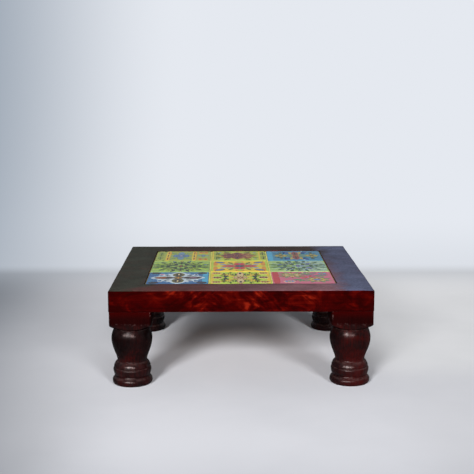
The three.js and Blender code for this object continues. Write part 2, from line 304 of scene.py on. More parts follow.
def make_piece(mesh, name, materials, nodes=(), smooth_angle=32):
    """A finished mesh as a piece that rides on the stool and may stand for CAD nodes."""
    bmesh.ops.remove_doubles(mesh, verts=mesh.verts, dist=TOUCHING)
    bmesh.ops.recalc_face_normals(mesh, faces=mesh.faces)
    piece = add_object(mesh, name, materials)
    piece.data.set_sharp_from_angle(angle=math.radians(smooth_angle))
    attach(piece, BODY)
    if nodes:
        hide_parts(*nodes)
    return piece


def paint_node(node, material):
    """Gives a CAD node that stays as it is a material."""
    for slot in frame["nodes"][node].material_slots:
        slot.material = material


def boolean(mesh, cutter, operation):
    """One mesh cut or kept by another, both as bmesh, which this uses up."""
    made = [add_object(source, "cut") for source in (mesh, cutter)]
    modifier = made[0].modifiers.new("cut", "BOOLEAN")
    modifier.operation = operation
    modifier.solver = "EXACT"
    modifier.object = made[1]
    result = bmesh.new()
    result.from_object(made[0], bpy.context.evaluated_depsgraph_get())
    for thing in made:
        data = thing.data
        bpy.data.objects.remove(thing)
        bpy.data.meshes.remove(data)
    return result


def wander(mesh, amount, spacing, seed):
    """Moves a surface a little along its normals, as hand work leaves it."""
    offset = Vector((seed, 2 * seed, 3 * seed))
    mesh.normal_update()
    for vertex in mesh.verts:
        vertex.co += vertex.normal * amount * noise.noise(vertex.co / spacing + offset)


# Shading

class Shading:
    """A shader tree, and the kinds of node that the materials are made of."""

    def __init__(self, tree):
        self.tree = tree

    def fill(self, node, inputs):
        """Sets or links a node's inputs, by name or number. A colour may leave out its alpha."""
        for name, value in inputs.items():
            socket = node.inputs[name]
            if isinstance(value, bpy.types.NodeSocket):
                self.tree.links.new(value, socket)
            elif socket.type == "RGBA":
                socket.default_value = (*value[:3], 1)
            else:
                socket.default_value = value
        return node

    def node(self, kind, inputs=None, **settings):
        """A new node, with its settings, and its inputs set or linked."""
        made = self.tree.nodes.new(f"ShaderNode{kind}")
        for name, value in settings.items():
            setattr(made, name, value)
        return self.fill(made, inputs or {})

    def math(self, operation, *values, clamp=False):
        inputs = dict(enumerate(values))
        return self.node("Math", inputs, operation=operation, use_clamp=clamp).outputs[0]

    def add(self, first, second):
        return self.math("ADD", first, second)

    def subtract(self, first, second):
        return self.math("SUBTRACT", first, second)

    def multiply(self, first, second):
        return self.math("MULTIPLY", first, second)

    def larger(self, first, second):
        return self.math("MAXIMUM", first, second)

    def absolute(self, value):
        return self.math("ABSOLUTE", value)

    def weigh(self, first, weight, second):
        """Two values in one: the first by its weight, and the second by the rest."""
        return self.add(self.multiply(first, weight), self.multiply(second, 1 - weight))

    def remap(self, value, low, high, to_low=0.0, to_high=1.0):
        """A value moved smoothly from one range to another."""
        inputs = {"Value": value, "From Min": low, "From Max": high, "To Min": to_low, "To Max": to_high}
        return self.node("MapRange", inputs, interpolation_type="SMOOTHSTEP").outputs["Result"]

    def mix(self, amount, first, second, blend="MIX"):
        """Two colours mixed, which are a mix node's inputs 6 and 7, and its output 2."""
        inputs = {0: amount, 6: first, 7: second}
        return self.node("Mix", inputs, data_type="RGBA", blend_type=blend).outputs[2]

    def steps(self, value, *steps):
        """A colour ramp through (position, colour) steps."""
        ramp = self.node("ValToRGB", {"Fac": value})
        elements = ramp.color_ramp.elements
        for step in steps[1:-1]:
            elements.new(step[0])
        for element, (position, colour) in zip(elements, steps):
            element.position = position
            element.color = (*colour[:3], 1)
        return ramp.outputs["Color"]

    def noise(self, vector, scale, detail, roughness=0.55, stretch=(1, 1, 1), distortion=0):
        """Noise from 0 to 1, with its scale per metre and its vector stretched first."""
        inputs = {
            "Vector": self.node("Mapping", {"Vector": vector, "Scale": stretch}).outputs[0],
            "Scale": scale,
            "Detail": detail,
            "Roughness": roughness,
            "Distortion": distortion,
        }
        return self.node("TexNoise", inputs).outputs["Fac"]

    def place(self, location=(0, 0, 0), rotation=(0, 0, 0)):
        """Object coordinates, moved and turned."""
        coordinates = self.node("TexCoord").outputs["Object"]
        inputs = {"Vector": coordinates, "Location": location, "Rotation": rotation}
        return self.node("Mapping", inputs).outputs[0]

    def xyz(self, vector):
        """A vector's outputs X, Y and Z."""
        return self.node("SeparateXYZ", {0: vector}).outputs

    def facing_up(self):
        """How far the surface faces up, from -1 to 1."""
        return self.xyz(self.node("NewGeometry").outputs["Normal"])["Z"]

    def bump(self, height, strength, distance):
        inputs = {"Height": height, "Strength": strength, "Distance": distance}
        return self.node("Bump", inputs).outputs[0]

    def group(self, maker, vector):
        """The outputs of a shader group at a vector. The group is made when it is first asked for."""
        name = f"chowki_{maker.__name__}"
        tree = bpy.data.node_groups.get(name)
        if tree is None:
            tree = bpy.data.node_groups.new(name, "ShaderNodeTree")
            tree.interface.new_socket("Vector", in_out="INPUT", socket_type="NodeSocketVector")
            inside = Shading(tree)
            outputs = maker(inside, tree.nodes.new("NodeGroupInput").outputs["Vector"])
            for output in outputs:
                tree.interface.new_socket(output, in_out="OUTPUT", socket_type="NodeSocketFloat")
            inside.fill(tree.nodes.new("NodeGroupOutput"), outputs)
        return self.node("Group", {"Vector": vector}, node_tree=tree).outputs


def new_material(name):
    """A material, the shading of its tree, and the Principled shader and output that it starts with."""
    material = bpy.data.materials.new(name)
    material.use_nodes = True
    material.node_tree.nodes.clear()
    shade = Shading(material.node_tree)
    shader = shade.node("BsdfPrincipled")
    output = shade.node("OutputMaterial", {"Surface": shader.outputs[0]})
    return material, shade, shader, output


def deeper(colour, amount):
    return tuple(channel * amount for channel in colour)


# Shader groups

def wood_grain(shade, vector):
    """Grain of wood along X: its broad figure, flames across it, fibres, open pores and their height."""
    leaning = [
        shade.node("Mapping", {"Vector": vector, "Rotation": (0, turn, 0)}).outputs[0]
        for turn in (0.75, -0.6)
    ]
    left, right = [shade.noise(lean, 88, 3, 0.6, (0.34, 1.1, 1.1), 1.5) for lean in leaning]
    side = shade.remap(shade.noise(vector, 16, 1, 0.5), 0.5, 0.58)
    streaks = shade.node("Mix", {0: side, 2: left, 3: right}).outputs[0]
    patches = shade.noise(vector, 26, 2, 0.5)
    fibre = shade.noise(vector, 240, 3, 0.6, (0.09, 2.6, 2.6))
    pores = shade.remap(shade.noise(vector, 700, 2, 0.5, (0.11, 1.5, 1.5)), 0.66, 0.78)
    return {
        "Figure": shade.noise(vector, 38, 4, 0.6, (0.8, 1.2, 1.2), 1.6),
        "Flames": shade.multiply(shade.remap(streaks, 0.36, 0.7), shade.remap(patches, 0.36, 0.56)),
        "Fibre": fibre,
        "Pores": pores,
        "Height": shade.subtract(shade.multiply(fibre, 0.35), pores),
    }


def lacquer_film(shade, vector):
    """A brushed lacquer film: its cloudy thickness, rubbed places, fine speckle and height."""
    orange_peel = shade.noise(vector, 210, 2, 0.5)
    runs = shade.noise(vector, 75, 2, 0.5)
    return {
        "Cloud": shade.noise(vector, 26, 4, 0.55, distortion=0.6),
        "Rubbed": shade.remap(shade.noise(vector, 160, 5, 0.65, distortion=0.4), 0.55, 0.75),
        "Speckle": shade.noise(vector, 330, 4, 0.6, distortion=0.3),
        "Height": shade.add(shade.multiply(orange_peel, 0.4), runs),
    }


def glaze_wash(shade, vector):
    """A brushed glaze: its pooled and thin places as a mask, its pale rim and its height."""
    brushed = shade.noise(vector, 95, 4, 0.6, (1, 2.2, 1), 1.2)
    mottled = shade.noise(vector, 420, 3, 0.6, distortion=0.5)
    parts = shade.xyz(vector)
    edge = shade.larger(shade.absolute(parts["X"]), shade.absolute(parts["Y"]))
    ragged = shade.add(edge, shade.multiply(mottled, 1.6 * MM))
    return {
        "Wash": shade.weigh(brushed, 0.7, mottled),
        "Rim": shade.remap(ragged, 36.2 * MM, 37.8 * MM),
        "Height": shade.noise(vector, 55, 2, 0.5),
    }


# Materials of the wood

def film_and_reflection_colour(shade, cloud, lacquer):
    """Colour of the worn film on the frame's top, with the room's grazing reflection painted in.

    It is grey-green to the left, red in front and blue to the right.
    """
    parts = shade.xyz(shade.place())
    ragged = shade.multiply(shade.subtract(cloud, 0.5), 50 * MM)
    across = shade.add(parts["X"], ragged)
    along = shade.add(parts["Y"], ragged)
    to_right = shade.remap(across, -90 * MM, 120 * MM)
    front = shade.mix(to_right, lacquer.front_top, lacquer.front_top_right)
    film = shade.mix(shade.remap(along, -90 * MM, 90 * MM), front, lacquer.back_top)
    left_end = shade.remap(across, -110 * MM, -140 * MM)
    behind_front = shade.remap(along, -140 * MM, -120 * MM)
    from_left = shade.math("ADD", left_end, behind_front, clamp=True)
    on_left = shade.multiply(shade.remap(across, -94 * MM, -116 * MM), from_left)
    film = shade.mix(on_left, film, lacquer.left_top)
    return shade.mix(shade.remap(across, 100 * MM, 130 * MM), film, lacquer.right_top)


# Where in the wood each rail and each leg is cut from, so that their figures differ
FIRST_RAIL = 400 * MM
NEXT_RAIL = 210 * MM
NEXT_LEG = 170 * MM


def rail_lacquer(side, lacquer):
    """Dark red lacquer over figured wood, for the rail on one side, with the figure at its middle."""
    material, shade, shader, _ = new_material(f"rail_lacquer_{side}")
    index = SIDES.index(side)
    turn = index * math.pi / 2
    vector = shade.place((FIRST_RAIL + NEXT_RAIL * index, 0, 0), (0, 0, -turn))
    grain = shade.group(wood_grain, vector)
    film = shade.group(lacquer_film, vector)
    rail = shade.xyz(shade.place(rotation=(0, 0, -turn)))
    off_middle = shade.absolute(shade.add(rail["X"], 4 * MM))
    middle = shade.remap(off_middle, 55 * MM, 115 * MM, 1, 0)
    tone = shade.weigh(grain["Figure"], 0.75, grain["Fibre"])
    tone = shade.add(tone, shade.multiply(grain["Flames"], shade.remap(middle, 0, 1, 0.02, 0.29)))
    tone = shade.subtract(tone, shade.remap(middle, 0, 0.6, 0.004, -0.006))
    tone = shade.subtract(tone, shade.remap(rail["Z"], 104 * MM, 90 * MM, 0, 0.07))
    wood = shade.steps(tone, (0.4, lacquer.rail_dark), (0.52, lacquer.rail_red),
                       (0.64, lacquer.rail_warm), (0.76, lacquer.rail_flame))
    wood = shade.mix(shade.multiply(grain["Pores"], 0.5), wood, lacquer.rail_dark)
    # Painted reflection: the top colour is laid only on upward faces. It stands for worn film and the
    # room's grazing reflection.
    on_top = shade.remap(shade.facing_up(), 0.6, 0.95)
    film_and_reflection_cover = shade.multiply(on_top, shade.remap(film["Cloud"], 0.3, 0.7, 0.8, 1.0))
    cloud = shade.noise(shade.place(), 34, 4, 0.6, distortion=0.5)
    mottled = shade.remap(shade.weigh(cloud, 0.5, film["Speckle"]), 0.38, 0.62, 0.8, 1.22)
    film_and_reflection_scale = {0: film_and_reflection_colour(shade, cloud, lacquer), "Scale": mottled}
    mottled_film_and_reflection = shade.node("VectorMath", film_and_reflection_scale, operation="SCALE").outputs[0]
    coat = shade.remap(on_top, 0, 1, lacquer.front_coat, lacquer.top_coat)
    height = shade.add(film["Height"], shade.multiply(grain["Height"], 0.25))
    shade.fill(shader, {
        "Base Color": shade.mix(film_and_reflection_cover, wood, mottled_film_and_reflection),
        "Coat Weight": shade.multiply(coat, shade.remap(film["Rubbed"], 0, 1, 1.0, 0.4)),
        "Coat Roughness": lacquer.rail_coat_roughness,
        "Roughness": 0.6,
        "Specular IOR Level": 0,
        "Normal": shade.bump(height, 0.35, 0.6 * MM),
    })
    return material


# How far each leg's lacquer leans from dark to red
LEG_REDNESS = {"front_left": -0.05, "front_right": 0.03, "back_left": -0.05, "back_right": -0.03}


def leg_lacquer(corner, lacquer, block_low, reach):
    """The legs' darker lacquer, redder on the block, with upright grain, worn edges, and dust that also
    stands for a painted sheen on upward faces.

    Reach is how far the legs' axes stand from the stool's middle planes.
    """
    material, shade, shader, _ = new_material(f"leg_lacquer_{corner}")
    vector = shade.place((0, 0, NEXT_LEG * CORNERS.index(corner)), (0, math.pi / 2, 0))
    upright = shade.place()
    place = shade.xyz(upright)
    grain = shade.group(wood_grain, vector)
    film = shade.group(lacquer_film, vector)
    tone = shade.add(shade.weigh(grain["Fibre"], 0.35, film["Cloud"]), LEG_REDNESS[corner])
    turned = shade.steps(tone, (0.38, lacquer.leg_dark), (0.5, lacquer.leg_brown),
                         (0.66, lacquer.leg_red))
    on_block = shade.remap(place["Z"], block_low - 4 * MM, block_low + 2 * MM)
    thin = shade.remap(tone, 0.4, 0.6)
    block = shade.mix(thin, deeper(lacquer.block_red, 0.6), lacquer.block_red)
    under_rail = shade.remap(place["Z"], block_low + 5 * MM, block_low + 16 * MM, 0, 0.75)
    block = shade.mix(under_rail, block, lacquer.rail_red)
    wood = shade.mix(on_block, turned, block)
    # Dust, and a painted sheen: lighter where the surface faces up.
    dust_and_sheen = shade.multiply(shade.remap(shade.facing_up(), 0.3, 0.95),
                          shade.remap(film["Speckle"], 0.34, 0.66, 0.02, 0.28))
    off_axis = [shade.absolute(shade.subtract(shade.absolute(place[axis]), reach)) for axis in "XY"]
    near_edge = shade.remap(shade.math("MINIMUM", *off_axis), 22.2 * MM, 23.4 * MM)
    low_edge = shade.remap(place["Z"], block_low + 1.6 * MM, block_low + 0.2 * MM)
    edge = shade.larger(near_edge, shade.multiply(low_edge, 0.4))
    chips = shade.multiply(shade.multiply(edge, on_block),
                           shade.remap(film["Speckle"], 0.54, 0.64, 0, 0.55))
    scratches = shade.noise(upright, 620, 3, 0.6, (1, 1, 0.12))
    coat = shade.multiply(shade.remap(scratches, 0.4, 0.62, 1.0, 0.4), lacquer.leg_coat)
    glossy_foot = shade.remap(place["Z"], 26 * MM, 34 * MM, 1.9, 1.0)
    gloss = shade.subtract(glossy_foot, shade.remap(on_block, 0, 1, 0, 0.8))
    tool_marks = shade.noise(upright, 300, 2, 0.5, (0.06, 0.06, 1))
    height = shade.add(film["Height"], shade.multiply(tool_marks, 0.35))
    shade.fill(shader, {
        "Base Color": shade.mix(shade.larger(dust_and_sheen, chips), wood, lacquer.dust_and_sheen),
        "Coat Weight": shade.multiply(coat, gloss),
        "Coat Roughness": lacquer.leg_coat_roughness,
        "Roughness": 0.5,
        "Specular IOR Level": 0,
        "Normal": shade.bump(height, 0.6, 1 * MM),
    })
    return material


def dry_material(name, base, roughness, grain_strength):
    """Unfinished wood or plywood, with the grain along X."""
    material, shade, shader, _ = new_material(name)
    grain = shade.group(wood_grain, shade.place())
    tone = shade.weigh(grain["Figure"], 0.5, grain["Fibre"])
    shade.fill(shader, {
        "Base Color": shade.steps(tone, (0.3, deeper(base, 0.55)), (0.7, base)),
        "Roughness": roughness,
        "Normal": shade.bump(grain["Height"], grain_strength, 0.4 * MM),
    })
    return material


def cement_material(name, base, grime_and_shade, field):
    """Set cement, gritty, a little stained, and darkened beyond the field of tiles along the frame, as
    grime and painted shade.
    """
    material, shade, shader, _ = new_material(name)
    vector = shade.place()
    stained = shade.steps(shade.noise(vector, 60, 4), (0.35, deeper(base, 0.85)), (0.6, base))
    parts = shade.xyz(vector)
    outwards = shade.larger(shade.absolute(parts["X"]), shade.absolute(parts["Y"]))
    # Painted shade: beyond the field, along the frame, the cement darkens as grime and as shade in the
    # joint.
    beyond = shade.remap(outwards, field, field + 0.3 * MM, 0, 0.9)
    shade.fill(shader, {
        "Base Color": shade.mix(beyond, stained, grime_and_shade),
        "Roughness": 0.85,
        "Normal": shade.bump(shade.noise(vector, 1400, 2), 0.5, 0.3 * MM),
    })
    return material


def screw_material(base):
    """Zinc plated steel, spotted where it has dulled."""
    material, shade, shader, _ = new_material("screw_steel")
    spots = shade.noise(shade.place(), 900, 3)
    shade.fill(shader, {
        "Base Color": shade.steps(spots, (0.35, base), (0.75, deeper(base, 0.5))),
        "Roughness": shade.remap(spots, 0.4, 0.7, 0.28, 0.55),
        "Metallic": 0.9,
    })
    return material


# Materials of the tiles

PAINTS = {
    "royal_blue": (18, 66, 146),
    "sky_blue": (52, 130, 166),
    "cyan": (66, 172, 212),
    "dusk_blue": (112, 150, 184),
    "periwinkle": (84, 108, 188),
    "lavender": (132, 132, 196),
    "grey_blue": (92, 128, 156),
    "navy": (14, 26, 58),
    "teal": (24, 84, 84),
    "leaf_green": (22, 48, 14),
    "fern": (54, 90, 34),
    "sage": (104, 140, 98),
    "olive": (98, 94, 30),
    "lime": (188, 214, 54),
    "yellow_green": (172, 170, 42),
    "mint": (146, 182, 82),
    "pale_mint": (172, 206, 130),
    "mist": (162, 196, 172),
    "celadon": (192, 216, 166),
    "yellow": (232, 202, 34),
    "ochre": (188, 166, 66),
    "beige": (222, 200, 140),
    "orange": (226, 152, 24),
    "brown_orange": (164, 86, 28),
    "red_brown": (136, 50, 22),
    "umber": (46, 26, 18),
    "maroon": (104, 26, 14),
    "red": (200, 48, 54),
    "mauve": (152, 108, 128),
    "pink": (206, 104, 130),
    "white": (206, 222, 230),
}


def paint(name):
    """A paint's colour in linear values."""
    return tuple(linear(channel) for channel in PAINTS[name])


def glaze_material(name, first, second, middle, settings, rim=False):
    """Glossy glaze that pools between two paints. A tile's own glaze also has a pale rim."""
    material, shade, shader, _ = new_material(name)
    wash = shade.group(glaze_wash, shade.place((-middle.x, -middle.y, 0)))
    glaze = shade.mix(shade.remap(wash["Wash"], 0.34, 0.66), first, second)
    if rim:
        pale = [0.7 * channel + 0.12 for channel in first]
        glaze = shade.mix(shade.multiply(wash["Rim"], 0.5), glaze, pale)
    shade.fill(shader, {
        "Base Color": glaze,
        "Coat Weight": settings.glaze_coat,
        "Coat Roughness": settings.glaze_roughness,
        "Roughness": 0.4,
        "Specular IOR Level": 0,
        "Normal": shade.bump(wash["Height"], 0.3, 0.5 * MM),
    })
    return material


# Painted tiles

QUARTERS = (0, 90, 180, 270)
DIAGONALS = (45, 135, 225, 315)
EIGHTHS = QUARTERS + DIAGONALS
ACROSS = (0, 180)
UP_DOWN = (90, 270)
STEEP = (62, 118, 242, 298)
SHALLOW = (28, 152, 208, 332)
FIFTHS = (0, 72, 144, 216, 288)


class TilePainting:
    """Painted glaze on one tile: flat shapes, each a little higher than those painted before it.

    Lengths are in millimetres from the point that at() was last given, and from the middle of the tile
    before that. Angles are in degrees from +X.
    """

    def __init__(self, tile, settings):
        low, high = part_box(tile)
        self.tile = tile
        self.middle = Vector(((low.x + high.x) / 2, (low.y + high.y) / 2, high.z))
        self.settings = settings
        self.mesh = bmesh.new()
        self.paints = []
        self.coats = 0
        self.centre = (0, 0)

    def at(self, across, along=0):
        """Moves the point that the next shapes are measured from."""
        self.centre = (across, along)
        return self

    def lay(self, verts, name, turn, reach, lean=0):
        """Places a flat shape, and gives it the thickness of its coat and a soft edge."""
        if name not in self.paints:
            self.paints.append(name)
        place = (
            Matrix.Translation((*self.centre, 0))
            @ Matrix.Rotation(math.radians(turn), 4, "Z")
            @ Matrix.Translation((reach, 0, 0))
            @ Matrix.Rotation(math.radians(lean), 4, "Z")
        )
        bmesh.ops.transform(self.mesh, matrix=place, verts=verts)
        faces = list({face for vertex in verts for face in vertex.link_faces})
        for face in faces:
            face.material_index = self.paints.index(name)
        raised = bmesh.ops.extrude_face_region(self.mesh, geom=faces, use_keep_orig=True)["geom"]
        top = [item for item in raised if isinstance(item, bmesh.types.BMVert)]
        height = self.settings.first_coat + self.coats * self.settings.next_coat
        bmesh.ops.translate(self.mesh, vec=(0, 0, height / MM), verts=top)
        top_faces = {item for item in raised if isinstance(item, bmesh.types.BMFace)}
        rim = [
            edge for edge in {edge for face in top_faces for edge in face.edges}
            if len(top_faces.intersection(edge.link_faces)) == 1
        ]
        bmesh.ops.bevel(
            self.mesh,
            geom=rim,
            offset=self.settings.edge_softness / MM,
            offset_type="OFFSET",
            segments=1,
            profile=0.5,
            affect="EDGES",
            clamp_overlap=True,
            material=-1,
        )

    def round_shape(self, name, turns, reach, segments, form, lean=0):
        """A disc whose points are moved by a function, laid at each turn."""
        for turn in turns:
            made = bmesh.ops.create_circle(self.mesh, cap_ends=True, radius=1, segments=segments)
            verts = made["verts"]
            for vertex in verts:
                vertex.co = Vector((*form(vertex.co.x, vertex.co.y), 0))
            self.lay(verts, name, turn, reach, lean)
        self.coats += 1

    def petals(self, name, turns, reach, length, width, point=0.45, rim=None, rim_width=0.9, lean=0):
        """Petals or leaves that point outwards. Point 0 is round, and 1 is sharp at the tip."""
        if rim:
            self.petals(rim, turns, reach - rim_width, length + 2 * rim_width, width + 2 * rim_width,
                        point, lean=lean)

        def form(x, y):
            taper = 1 - point * max(x, -0.4 * x) ** 2
            return (1 + x) * length / 2, y * taper * width / 2

        self.round_shape(name, turns, reach, 14, form, lean)

    def sprig(self, name, turns, reach, length, leaf):
        """A stem with two pairs of leaves and one more at its tip."""
        self.petals(name, turns, reach, length, 0.2 * leaf, 0.2)
        for along in (0.12, 0.5):
            for lean in (-42, 42):
                self.petals(name, turns, reach + along * length, leaf, 0.42 * leaf, 0.8, lean=lean)
        self.petals(name, turns, reach + 0.8 * length, leaf, 0.46 * leaf, 0.8)

    def flower(self, petal, rim, heart, seed, size, turns=EIGHTHS, vein=None):
        """A round flower with outlined petals, a vein in each, and a ringed heart."""
        self.petals(petal, turns, 0.22 * size, 0.76 * size, 0.5 * size, 0.3, rim, 0.09 * size)
        if vein:
            self.petals(vein, turns, 0.42 * size, 0.42 * size, 0.16 * size)
        self.disc(heart, 0.32 * size, rim, 0.08 * size)
        self.disc(seed, 0.14 * size)

    def dots(self, name, turns, reach, radius, rim=None, rim_width=0.8, segments=12):
        if rim:
            self.dots(rim, turns, reach, radius + rim_width, segments=segments)
        self.round_shape(name, turns, reach, segments, lambda x, y: (x * radius, y * radius))

    def disc(self, name, radius, rim=None, rim_width=0.8):
        self.dots(name, (0,), 0, radius, rim, rim_width, segments=20)

    def panel(self, name, width, height):
        """A panel with round corners."""
        def form(x, y):
            bulge = (x ** 6 + y ** 6) ** (-1 / 6)
            return x * bulge * width / 2, y * bulge * height / 2

        self.round_shape(name, (0,), 0, 24, form)

    def star(self, name, points, outer, inner, rim=None, rim_width=1.2):
        if rim:
            self.star(rim, points, outer + rim_width, inner + rim_width)

        def form(x, y):
            on_tip = round(math.degrees(math.atan2(y, x)) * points / 180) % 2 == 0
            radius = outer if on_tip else inner
            return x * radius, y * radius

        self.round_shape(name, (0,), 0, 2 * points, form)

    def scrolls(self, name, turns, reach, radius, sweep, width, start, both=False):
        """Curled brush strokes, thickest at their middle. Both adds the mirrored stroke of each."""
        hands = (1, -1) if both else (1,)
        steps = max(6, round(sweep / 22))
        for turn in turns:
            for hand in hands:
                known = set(self.mesh.verts)
                ends = [self.mesh.verts.new((radius + side * width / 2, 0, 0)) for side in (-1, 1)]
                edge = self.mesh.edges.new(ends)
                bmesh.ops.spin(
                    self.mesh,
                    geom=[*ends, edge],
                    cent=(0, 0, 0),
                    axis=(0, 0, 1),
                    angle=math.radians(sweep),
                    steps=steps,
                )
                verts = [vertex for vertex in self.mesh.verts if vertex not in known]
                for vertex in verts:
                    turned = math.degrees(math.atan2(vertex.co.y, vertex.co.x)) % 360
                    if turned > sweep + 1:
                        turned = 0
                    swell = 0.22 + 0.78 * math.sin(math.pi * (0.08 + 0.84 * turned / sweep))
                    distance = vertex.co.xy.length
                    vertex.co *= (radius + (distance - radius) * swell) / distance
                first = Matrix.Rotation(math.radians(start), 4, "Z")
                mirror = Matrix.Diagonal((1, hand, 1, 1))
                bmesh.ops.transform(self.mesh, matrix=mirror @ first, verts=verts)
                self.lay(verts, name, turn, reach)
        self.coats += 1

    def finish(self):
        """The painting as a piece on its tile."""
        bmesh.ops.scale(self.mesh, vec=(MM, MM, MM), verts=self.mesh.verts)
        bmesh.ops.translate(self.mesh, vec=self.middle - Vector((0, 0, 0.01 * MM)), verts=self.mesh.verts)
        materials = [
            glaze_material(f"paint_{name}_{self.tile}", deeper(paint(name), 0.72), paint(name),
                           self.middle, self.settings)
            for name in self.paints
        ]
        make_piece(self.mesh, f"painting_{self.tile}", materials)


def paint_front_left(tile):
    """Deep blue with a pale edge at the right, and a figure of four lobes in broad white lines."""
    tile.at(32.8).panel("cyan", 7, 71)
    tile.at(0).petals("navy", DIAGONALS, 34, 14, 12, point=0.2)
    tile.scrolls("white", DIAGONALS, 22, 9, 250, 4.4, start=55, both=True)
    tile.petals("white", DIAGONALS, 7, 20, 11, point=0.3)
    tile.petals("navy", DIAGONALS, 11, 13, 4.4)
    tile.petals("white", STEEP + SHALLOW, 12, 15, 5, point=0.6)
    tile.petals("umber", (180,), 5, 25, 15, point=0.25, rim="white", rim_width=3.6)
    tile.petals("brown_orange", (180,), 14, 14, 9, point=0.2)
    tile.petals("umber", (0,), 5, 24, 16, point=0.25, rim="white", rim_width=3.6)
    tile.petals("mauve", (0,), 13, 11, 6)
    tile.petals("olive", UP_DOWN, 5, 26, 15, point=0.25, rim="white", rim_width=3.6)
    tile.petals("umber", UP_DOWN, 8, 21, 8, point=0.5)
    tile.petals("beige", UP_DOWN, 15, 10, 2.4)
    tile.disc("olive", 5, rim="umber", rim_width=1.8)
    tile.petals("orange", QUARTERS, 0.6, 5, 2)
    tile.dots("pink", (135,), 29, 2.8, rim="white")
    tile.dots("umber", (45, 225, 315), 30, 2, rim="white")


def paint_front_centre(tile):
    """Lime, with a slim brown column between dark leaves and small maroon flowers."""
    tile.petals("yellow", DIAGONALS, 10, 30, 9)
    for across in (-34.2, 34.2):
        tile.at(across).panel("yellow", 4, 71)
    tile.at(0).sprig("olive", STEEP, 12, 18, 7)
    tile.sprig("leaf_green", SHALLOW, 15, 10, 6)
    tile.petals("fern", (76, 104, 256, 284), 13, 15, 3.6, point=0.8)
    tile.petals("beige", UP_DOWN, 2, 34, 8, point=0.4, rim="brown_orange", rim_width=0.8)
    tile.petals("umber", UP_DOWN, 20, 12, 3.4, point=0.5)
    tile.flower("beige", "brown_orange", "maroon", "beige", 10, vein="brown_orange")
    for side in (-1, 1):
        tile.at(18 * side).petals("leaf_green", UP_DOWN, 0.5, 13, 5, point=0.7)
        tile.at(13 * side).petals("yellow", UP_DOWN, 0, 30, 1.6)
        tile.at(20 * side).sprig("leaf_green", UP_DOWN, 14, 13, 5)
        tile.at(28 * side).flower("maroon", "beige", "brown_orange", "umber", 6.5)
        for end in (-1, 1):
            tile.at(29 * side, 27 * end).flower("brown_orange", "beige", "ochre", "umber", 6)
            tile.at(12 * side, 27 * end).petals("fern", (90 * end,), 0, 8, 3, point=0.8)


def paint_front_right(tile):
    """Pink, red along its left side, with a beige flower above and a yellow one below."""
    tile.at(-32).panel("red", 8, 71)
    tile.at(0).petals("mauve", (60, 30, 80), 12, 26, 9)
    tile.scrolls("mauve", (40, 225, 280), 23, 8, 230, 2.4, start=40)
    tile.sprig("sage", (22, 72), 16, 15, 7.5)
    tile.at(8, 2).petals("red", FIFTHS, 2, 10, 4)
    tile.at(-12, 15).petals("sage", STEEP + SHALLOW, 6, 14, 5, point=0.8)
    tile.petals("brown_orange", EIGHTHS, 9, 10, 2.6)
    tile.flower("beige", "brown_orange", "sage", "ochre", 12, vein="ochre")
    tile.at(17, -14).petals("sage", SHALLOW + STEEP, 6, 13, 4.6, point=0.8)
    tile.flower("ochre", "mauve", "lavender", "sky_blue", 13, vein="beige")
    tile.at(-17, -24).flower("lavender", "beige", "ochre", "mauve", 7)
    tile.at(26, 24).flower("dusk_blue", "mauve", "ochre", "umber", 6)
    tile.at(2, -10).sprig("sage", (200, 245), 3, 10, 6)
    tile.at(6, 30).dots("beige", FIFTHS, 4.4, 1.1)


def leaf_scroll_tile(tile, leaf, shade, light, heart, far):
    """Leaf sprays that cross on a green ground, with a small flower in the middle."""
    tile.petals(light, STEEP + SHALLOW, 10, 27, 5)
    tile.scrolls(shade, QUARTERS, 24, 8, 250, 2, start=55, both=True)
    tile.sprig(shade, STEEP + SHALLOW, 11, 23, 8)
    tile.sprig(leaf, DIAGONALS, 6, 26, 12)
    tile.petals(light, DIAGONALS, 12, 22, 2)
    for turn in DIAGONALS:
        tile.petals(leaf, (turn - 28, turn + 28), 27, 12, 4.4, point=0.85)
        tile.petals(light, (turn - 14, turn + 14), 22, 19, 2.6, point=0.85)
    tile.sprig(leaf, QUARTERS, 12, 18, 8)
    tile.flower(heart, shade, "umber", "ochre", 7.5, turns=QUARTERS)
    tile.dots(far, QUARTERS, 33, 1.6, rim=leaf, rim_width=0.7)


def paint_middle_left(tile):
    """Green, with dark leaves round a small red-brown flower."""
    leaf_scroll_tile(tile, "leaf_green", "fern", "lime", "red_brown", "ochre")
    tile.dots("dusk_blue", (18, 72, 108), 33, 1.8)


def paint_middle_centre(tile):
    """Yellow, edged in orange, with a red flower of four lobes ringed in pale green."""
    for side in (-1, 1):
        tile.at(35 * side).panel("lime", 3, 71)
        tile.at(31 * side).petals("orange", UP_DOWN, 0, 34, 6, point=0.1)
    tile.at(0).petals("orange", UP_DOWN, 22, 14, 12, point=0.2)
    tile.petals("lime", QUARTERS, 20, 13, 8)
    tile.petals("grey_blue", DIAGONALS, 29, 14, 8, rim="brown_orange", rim_width=1.4)
    tile.petals("fern", STEEP, 18, 13, 4.4, point=0.8)
    tile.petals("dusk_blue", SHALLOW, 19, 10, 5, point=0.6)
    tile.petals("sage", DIAGONALS, 10, 14, 7, point=0.6)
    tile.petals("beige", DIAGONALS, 13, 9, 2.4)
    tile.petals("red", QUARTERS, 4, 19, 15, point=0.2, rim="ochre", rim_width=1.2)
    tile.petals("mauve", QUARTERS, 12, 8, 4)
    tile.disc("teal", 5.4, rim="maroon", rim_width=1.6)
    tile.petals("navy", QUARTERS, 1, 4, 2)
    tile.disc("cyan", 1.4)


def paint_middle_right(tile):
    """Pale green, bluer at its right, with the same leaves round a small lavender flower."""
    tile.at(17).panel("mist", 38, 71)
    leaf_scroll_tile(tile.at(0), "fern", "grey_blue", "celadon", "lavender", "dusk_blue")
    tile.petals("leaf_green", (120, 150, 180, 210, 240), 18, 14, 3, point=0.85)
    tile.petals("lavender", (45, 315), 14, 12, 3)


